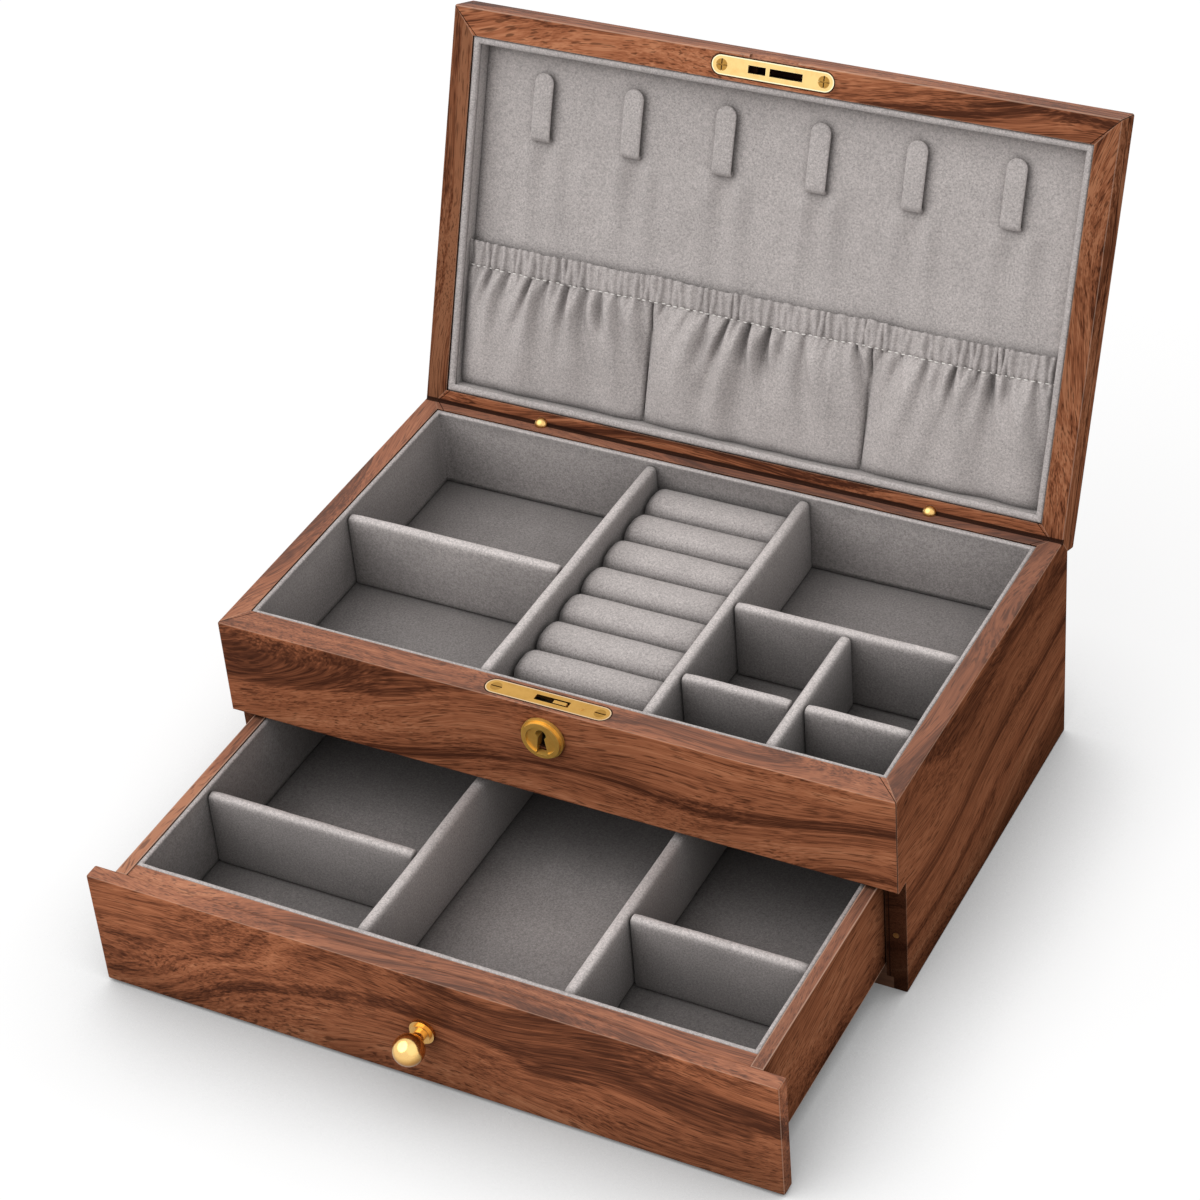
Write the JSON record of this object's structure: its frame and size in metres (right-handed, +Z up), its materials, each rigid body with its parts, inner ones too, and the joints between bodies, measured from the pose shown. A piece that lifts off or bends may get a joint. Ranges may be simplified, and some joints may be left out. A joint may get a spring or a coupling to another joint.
{
  "type": "jewellery box",
  "caption": "Walnut ring box with a suede-lined divided tray and ring rolls, a hinged lid with necklace tabs and a pocket, and a lined drawer.",
  "frame": {"origin": "middle of the box's footprint, on the floor, under the bottom board", "axes": "+X to the right as seen from the drawer, +Y to the back where the lid is hinged, +Z up"},
  "size_m": [0.3, 0.3781, 0.2687],
  "materials": {
    "walnut": "satin lacquered walnut",
    "inner_wood": "matte",
    "suede": "soft suede nap",
    "pocket_cloth": "gathered suede cloth",
    "brass": "satin brass",
    "steel": "bright steel"
  },
  "bodies": {
    "carcass": {"left_side_panel": "walnut", "right_side_panel": "walnut", "upper_front_panel": "walnut", "back_panel": "walnut", "bottom_board": "inner_wood", "tray_floor_board": "inner_wood", "drawer_kickers": "inner_wood", "drawer_runners": "inner_wood", "drawer_stop_strip": "inner_wood", "drawer_bumpers": "brass", "tray_wall_lining": "suede", "tray_floor_lining": "suede", "left_column_divider": "suede", "right_column_divider": "suede", "left_cross_divider": "suede", "right_cross_divider": "suede", "grid_long_divider": "suede", "grid_cross_divider_left": "suede", "grid_cross_divider_right": "suede", "ring_insert_base": "suede", "ring_roll_1": "suede", "ring_roll_2": "suede", "ring_roll_3": "suede", "ring_roll_4": "suede", "ring_roll_5": "suede", "ring_roll_6": "suede", "ring_roll_7": "suede", "lock_plate": "brass", "lock_case": "steel", "lock_plate_screws": "brass", "escutcheon": "brass", "hinge_carcass_barrels": "brass", "hinge_pins": "steel"},
    "lid": {"lid_front_rail": "walnut", "lid_back_rail": "walnut", "lid_left_rail": "walnut", "lid_right_rail": "walnut", "lid_panel": "walnut", "lid_wall_lining": "suede", "lid_back_pad": "suede", "necklace_tabs": "suede", "elastic_pocket": "pocket_cloth", "strike_plate": "brass", "strike_screws": "brass", "hinge_lid_barrels": "brass"},
    "drawer": {"drawer_front": "walnut", "drawer_left_side": "walnut", "drawer_right_side": "walnut", "drawer_back": "walnut", "drawer_bottom_panel": "inner_wood", "drawer_wall_lining": "suede", "drawer_floor_lining": "suede", "drawer_left_divider": "suede", "drawer_right_divider": "suede", "drawer_left_cross_divider": "suede", "drawer_right_cross_divider": "suede", "drawer_knob": "brass", "knob_rosette": "brass", "knob_screw": "steel"},
    "hook_bolt": {"hook_bolt": "brass"}
  },
  "joints": [
    {"name": "lid_hinge", "type": "hinge", "parent": "carcass", "child": "lid", "pos_m": [0, 0.0845, 0.10415], "axis": [1, 0, 0], "range_deg": [0, 110]},
    {"name": "drawer_slide", "type": "slide", "parent": "carcass", "child": "drawer", "axis": [0, -1, 0], "range_m": [-0.11, 0.01]},
    {"name": "hook_bolt_swing", "type": "hinge", "parent": "carcass", "child": "hook_bolt", "pos_m": [-0.0048, -0.085, 0.096], "axis": [0, -1, 0], "range_deg": [0, 54]}
  ]
}
